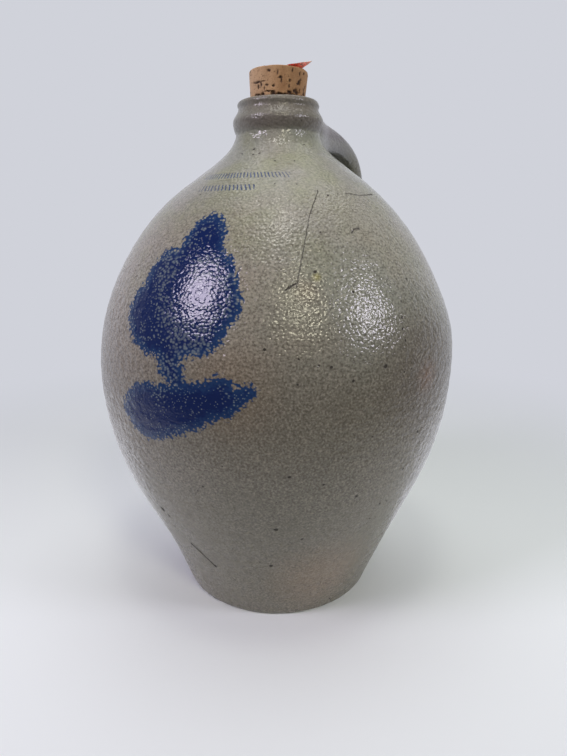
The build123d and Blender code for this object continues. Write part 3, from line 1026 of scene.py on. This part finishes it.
# Pores of the cork that show on the front: degrees right, height, half width, half height, depth
CORK_PORES = (
    (-18, 355.1, 0.9, 0.7, 0.7), (-47, 349.3, 2.6, 0.6, 0.6), (-31, 349.5, 1.8, 0.4, 0.5),
    (-43, 346.5, 0.8, 1.2, 0.8), (-36, 347.6, 0.7, 1.4, 0.5), (-23, 347.2, 1.4, 0.5, 0.5),
    (-28, 345.4, 0.5, 1.2, 0.5), (-10, 346.3, 0.8, 0.7, 0.7), (4, 351.2, 1.2, 0.7, 0.8),
    (6, 349.6, 0.5, 1.5, 0.5), (-2, 353.4, 0.4, 1.4, 0.4), (23, 349.6, 0.7, 0.9, 0.9),
    (22, 346.4, 0.4, 1.4, 0.5), (47, 349.2, 1.1, 1.9, 1.0), (41, 348.4, 1.0, 0.6, 0.6),
    (27, 355.7, 0.4, 1.4, 0.5), (45, 354.2, 0.5, 1.5, 0.6), (57, 355.2, 0.6, 0.8, 0.6),
    (-46, 342.0, 3.0, 0.9, 1.0), (-33, 342.0, 1.6, 1.3, 1.2), (-21, 343.6, 2.6, 0.5, 0.8),
    (-9, 342.0, 2.0, 1.6, 1.4), (3, 341.3, 4.6, 1.1, 1.4), (14, 341.4, 3.2, 1.0, 1.4),
    (25, 343.0, 1.8, 1.0, 1.0), (35, 344.0, 1.2, 1.3, 0.9), (41, 343.2, 1.6, 1.2, 1.0),
    (49, 344.6, 0.7, 1.2, 0.8), (30, 341.6, 3.0, 0.9, 1.2), (52, 341.4, 4.0, 0.9, 0.9),
    (66, 343.4, 1.2, 1.0, 0.7),
)

# Other pores are drawn at random from ranges of the same values, and kept off the front above the lip
RANDOM_PORES = 90
PORE_SEED = 7
PORE_RANGES = ((-180, 180), (CORK_TIP_HEIGHT, CORK_TOP_HEIGHT), (0.3, 1.0), (0.3, 1.3), (0.2, 0.6))
FRONT_REACH = 62
TOP_PORES = 40
TOP_PORE_RADII = (0.4, 1.3)
TOP_PORE_DEPTH = 0.6

# Size of the crumbs that make pores ragged, unevenness of the bark and its size, worn edge, and the grid
CRUMB = 1.1
BARK_UNEVEN = 0.08
BARK_GRAIN = 3.0
WORN_SIDE = 75
WORN_HEIGHT = 3.0
CORK_COLUMNS = 240
CORK_POLE_RADIUS = 1.0


def cork_stopper(bark):
    """The cork: a tapered profile turned about Z, dented by its pores.

    A pore is a hollow of elliptic plan: its depth times one less the squared distance from its middle in
    half widths and half heights.
    """
    height = CORK_TOP_HEIGHT - CORK_TIP_HEIGHT
    taper = (CORK_TOP_RADIUS - CORK_TIP_RADIUS) / height
    tip_corner = CORK_TIP_RADIUS + CORK_EDGE_ROUND * taper
    side = straight(
        (tip_corner, CORK_TIP_HEIGHT + CORK_EDGE_ROUND),
        (CORK_TOP_RADIUS - CORK_EDGE_ROUND * taper, CORK_TOP_HEIGHT - CORK_EDGE_ROUND),
        count=110,
    )
    top_bend = arc((side[-1, 0] - CORK_EDGE_ROUND, side[-1, 1]), CORK_EDGE_ROUND, 0, 90, 8)
    tip_bend = arc((side[0, 0] - CORK_EDGE_ROUND, side[0, 1]), CORK_EDGE_ROUND, -90, 0, 8)
    tip = straight((CORK_POLE_RADIUS, CORK_TIP_HEIGHT), tip_bend[0], count=12)
    top = straight(top_bend[-1], (CORK_POLE_RADIUS, CORK_TOP_HEIGHT), count=26)
    stretches = ((line, 0, 0) for line in (tip, tip_bend, side, top_bend, top))
    points, squares, *_ = join_stretches(*stretches)
    angles = round_angles(CORK_COLUMNS)
    grid = turned(points, angles)
    draw = np.random.default_rng(PORE_SEED)
    scattered = np.stack([draw.uniform(*ends, RANDOM_PORES) for ends in PORE_RANGES], axis=1)
    unseen = (np.abs(scattered[:, 0]) > FRONT_REACH) | (scattered[:, 1] < LIP_HEIGHT)
    pores = np.vstack((CORK_PORES, scattered[unseen]))
    right = wrapped(np.degrees(angles) - FRONT)
    turn = wrapped(right[:, None] - pores[:, 0])
    ragged = 0.85 + 0.45 * grain(grid, CRUMB, 5)[..., None]
    across = np.radians(turn)[None] * CORK_TOP_RADIUS / pores[:, 2] * ragged
    up = (points[:, 1, None, None] - pores[:, 1]) / pores[:, 3] * ragged
    bowl = np.clip(1 - across**2 - up**2, 0, 1) * (np.abs(squares[:, 0]) > 0.5)[:, None, None]
    top_pores = draw.uniform(-CORK_TOP_RADIUS, CORK_TOP_RADIUS, (TOP_PORES, 2))
    top_radii = draw.uniform(*TOP_PORE_RADII, TOP_PORES)
    gaps = np.linalg.norm(grid[:, :, None, :2] - top_pores, axis=-1) / top_radii
    top_bowl = np.clip(1 - gaps**2, 0, 1) * (squares[:, 1] > 0.7)[:, None, None]
    dent = (bowl * pores[:, 4]).max(-1) + TOP_PORE_DEPTH * top_bowl.max(-1)
    corner = np.clip((points[:, 1] - CORK_TOP_HEIGHT + WORN_HEIGHT) / WORN_HEIGHT, 0, 1)[:, None] ** 2
    worn = corner * np.clip(np.cos(np.radians(right - WORN_SIDE)), 0, 1) ** 3
    dent = dent + worn * (squares[:, 0] > 0)[:, None] + BARK_UNEVEN * grain(grid, BARK_GRAIN, 6)
    grid = wandered(grid - dent[..., None] * turned(squares, angles))
    piece = mesh_piece("cork_stopper_bark", grid, "cork", "cork_stopper", [bark])
    store(piece, "pores", np.maximum(bowl.max(-1), top_bowl.max(-1)).ravel() ** 0.5)


# Paper tag: a slip lying on the cork by its back edge, whose front edge lifts off the rim to a free point;
# its rise is (along, up)
TAG_TURN = -15.0
TAG_RISE = ((-6.4, 0.1), (0.0, 1.5), (12.6, 4.8))
TAG_WIDTH = 12.0
TAG_POINT_CUT = 5.5
TAG_FRONT = -18.1
TAG_THICKNESS = 0.22
TAG_LIFT = 0.06
FREE_LIFT = 4.0
TAG_CRINKLE = 0.25
CRINKLE_SIZE = 3.5
TAG_ROWS = 60
TAG_COLUMNS = 22
TAG_SAMPLES = 200


def red_tag(paper):
    """The slip: a line that rises along its front edge, carried back across its width.

    The rise fades towards the back with the power 1.5 of what is left of the width, and the line is shortened
    there, so that the free end is a point.
    """
    line = smooth_curve(TAG_RISE, count=TAG_SAMPLES)
    length = step_lengths(line).sum()
    across = np.linspace(0, 1, TAG_COLUMNS)[None, :]
    along = np.linspace(0, 1, TAG_ROWS)[:, None] * (1 - TAG_POINT_CUT / length * across)
    x, rise = (np.interp(along, np.linspace(0, 1, TAG_SAMPLES), line[:, axis]) for axis in (0, 1))
    lift = rise * (1 - across) ** 1.5
    y = np.broadcast_to(TAG_FRONT + TAG_WIDTH * across, x.shape)
    sheet = np.stack((x, y, CORK_TOP_HEIGHT + TAG_LIFT + lift), axis=-1)
    sheet[..., 2] += TAG_CRINKLE * (1 + grain(sheet, CRINKLE_SIZE, 31)) * np.clip(lift, 0, 1)
    normal = np.cross(np.gradient(sheet, axis=0), np.gradient(sheet, axis=1))
    normal /= np.linalg.norm(normal, axis=-1)[..., None]
    grid = np.concatenate((sheet + TAG_THICKNESS * normal, sheet[:, ::-1]), axis=1)
    angle = np.radians(TAG_TURN)
    spin = np.array(((np.cos(angle), np.sin(angle), 0), (-np.sin(angle), np.cos(angle), 0), (0, 0, 1)))
    grid = wandered(grid @ spin)[:, ::-1]
    piece = mesh_piece("red_tag_paper", grid, "cork", "red_tag", [paper])
    # Painted light: the share of paler colour grows with the lift towards the free end
    free = np.clip(np.concatenate((lift, lift[:, ::-1]), axis=1)[:, ::-1] / FREE_LIFT, 0, 1)
    store(piece, "lit_free_end", free.ravel())


coats = (salt_glaze("salt_glazed_stoneware", True), brown_slip(), bare_clay())
plain_glaze = salt_glaze("salt_glazed_strap", False)
thrown_section("lower_body", lower_outline(), coats)
thrown_section("upper_body", upper_outline(), coats, ring=True)
strap_handle(plain_glaze)
cork_stopper(cork_bark())
red_tag(red_paper())

# Stage: a pale floor that fades into a backdrop of one colour
BACKDROP = colour("#D0D2DA")
PAPER = colour("#F0F6F5")
FLOOR_SIZE = 30.0


def pale_floor():
    """White paper under the jug, which takes its shadow; further out it glows with the backdrop's own colour.

    For light that the camera doesn't see, the glow begins nearer and is brighter behind the jug, and is dim
    towards the viewer's dark room.
    """
    material, tree, place = blank_material("pale_paper_floor")
    forward = add(tree, "VectorMath", (place, tuple(FRONT_WAY)), "Value", operation="DOT_PRODUCT")
    ahead = add(tree, "Math", (forward, 0.0), operation="MAXIMUM")
    far = add(tree, "VectorMath", (place,), "Value", operation="LENGTH")
    far = add(tree, "Math", (ahead, 0.8, far), operation="MULTIPLY_ADD")
    seen = add(tree, "LightPath", give="Is Camera Ray")
    unseen = add(tree, "Math", (1.0, seen), operation="SUBTRACT")
    behind = add(tree, "MapRange", (forward, 0.06, -0.04, 0.0, unseen))
    start = add(tree, "MapRange", (behind, 0.0, 1.0, 0.22, 0.04))
    end = add(tree, "MapRange", (behind, 0.0, 1.0, 0.75, 0.13))
    fade = add(tree, "MapRange", (far, start, end), interpolation_type="SMOOTHSTEP")
    near = add(tree, "MapRange", (far, 0.15, 0.6, 2.0, 1.0))
    fill = add(tree, "MapRange", (forward, -0.1, 0.3, near, 0.12))
    level = add(tree, "MapRange", (seen, 0.0, 1.0, fill, 1.0))
    matte = add(tree, "BsdfDiffuse", {"Color": PAPER})
    glow = add(tree, "Emission", {"Color": BACKDROP, "Strength": level})
    both = add(tree, "MixShader", (fade, matte, glow))
    add(tree, "OutputMaterial", {"Surface": both}, ALL)
    return material


def stage_floor():
    """A square of floor round the jug."""
    half = FLOOR_SIZE / 2
    corners = [(-half, -half, 0), (half, -half, 0), (half, half, 0), (-half, half, 0)]
    mesh = bpy.data.meshes.new("floor")
    mesh.from_pydata(corners, [], [(0, 1, 2, 3)])
    mesh.materials.append(pale_floor())
    floor = placed("floor", mesh)


def backdrop_world():
    """The backdrop's colour where it is seen.

    Elsewhere it is a fill of that colour, dim overhead and on the side of the viewer's dark room.
    """
    world = bpy.data.worlds.new("backdrop")
    bpy.context.scene.world = world
    world.use_nodes = True
    tree = world.node_tree
    tree.nodes.clear()
    way = add(tree, "TexCoord", give="Generated")
    forward = add(tree, "VectorMath", (way, tuple(FRONT_WAY)), "Value", operation="DOT_PRODUCT")
    up = add(tree, "SeparateXYZ", (way,), "Z")
    fill = add(tree, "MapRange", (forward, -0.6, -0.05, 1.1, 0.17))
    ceiling = add(tree, "MapRange", (up, 0.3, 0.8, 1.0, 0.35))
    fill = add(tree, "Math", (fill, ceiling), operation="MULTIPLY")
    seen = add(tree, "LightPath", give="Is Camera Ray")
    level = add(tree, "MapRange", (seen, 0.0, 1.0, fill, 1.0))
    glow = add(tree, "Background", {"Color": BACKDROP, "Strength": level})
    add(tree, "OutputWorld", {"Surface": glow}, ALL)


# Point that the lamps face
AIM = np.array((0.0, 0.0, 0.2))


def softbox(name, right, elevation, distance, size, power, tint):
    """A square lamp, its power in watts, that faces the jug from degrees right of front and above level."""
    angle, rise = np.radians(FRONT + right), np.radians(elevation)
    way = np.array((np.cos(rise) * np.cos(angle), np.cos(rise) * np.sin(angle), np.sin(rise)))
    light = bpy.data.lights.new(name, "AREA")
    light.size = size
    light.energy = power
    light.color = colour(tint)[:3]
    lamp = placed(name, light)
    lamp.location = AIM + way * distance
    lamp.rotation_euler = (np.pi / 2 - rise, 0, angle + np.pi / 2)


softbox("left_softbox", -55.5, 35.5, 1.0, 0.34, 4.6, "#F5E9FF")
softbox("right_softbox", 61.0, 26.5, 1.0, 0.24, 2.7, "#F4EEFF")
softbox("front_bounce", 17, 37, 1.3, 0.25, 3.2, "#FCF7DA")
softbox("overhead_lamp", 0, 74, 1.2, 0.22, 1.4, "#FFFDF4")
softbox("top_softbox", 165, 78, 2.4, 2.0, 17.0, "#FFFFFF")

# Camera, at the photograph's place: focal length and frame in pixels, the rest in millimetres and degrees
FOCAL_PIXELS = 568.0
FRAME_HEIGHT = 756.0
SENSOR = 36.0
CAMERA_DISTANCE = 409.0
CAMERA_HEIGHT = 260.5
CAMERA_TURN = 0.66
CAMERA_PITCH = 14.84

view = bpy.data.cameras.new("view")
view.sensor_width = SENSOR
view.lens = SENSOR * FOCAL_PIXELS / FRAME_HEIGHT
view.clip_start = 0.01
camera = placed("view", view)
bpy.context.scene.camera = camera
camera.location = (FRONT_WAY * CAMERA_DISTANCE + (0, 0, CAMERA_HEIGHT)) * MM
camera.rotation_euler = np.radians((90 - CAMERA_PITCH, 0, FRONT + 90 - CAMERA_TURN))
bpy.context.scene.view_settings.view_transform = "Standard"

stage_floor()
backdrop_world()
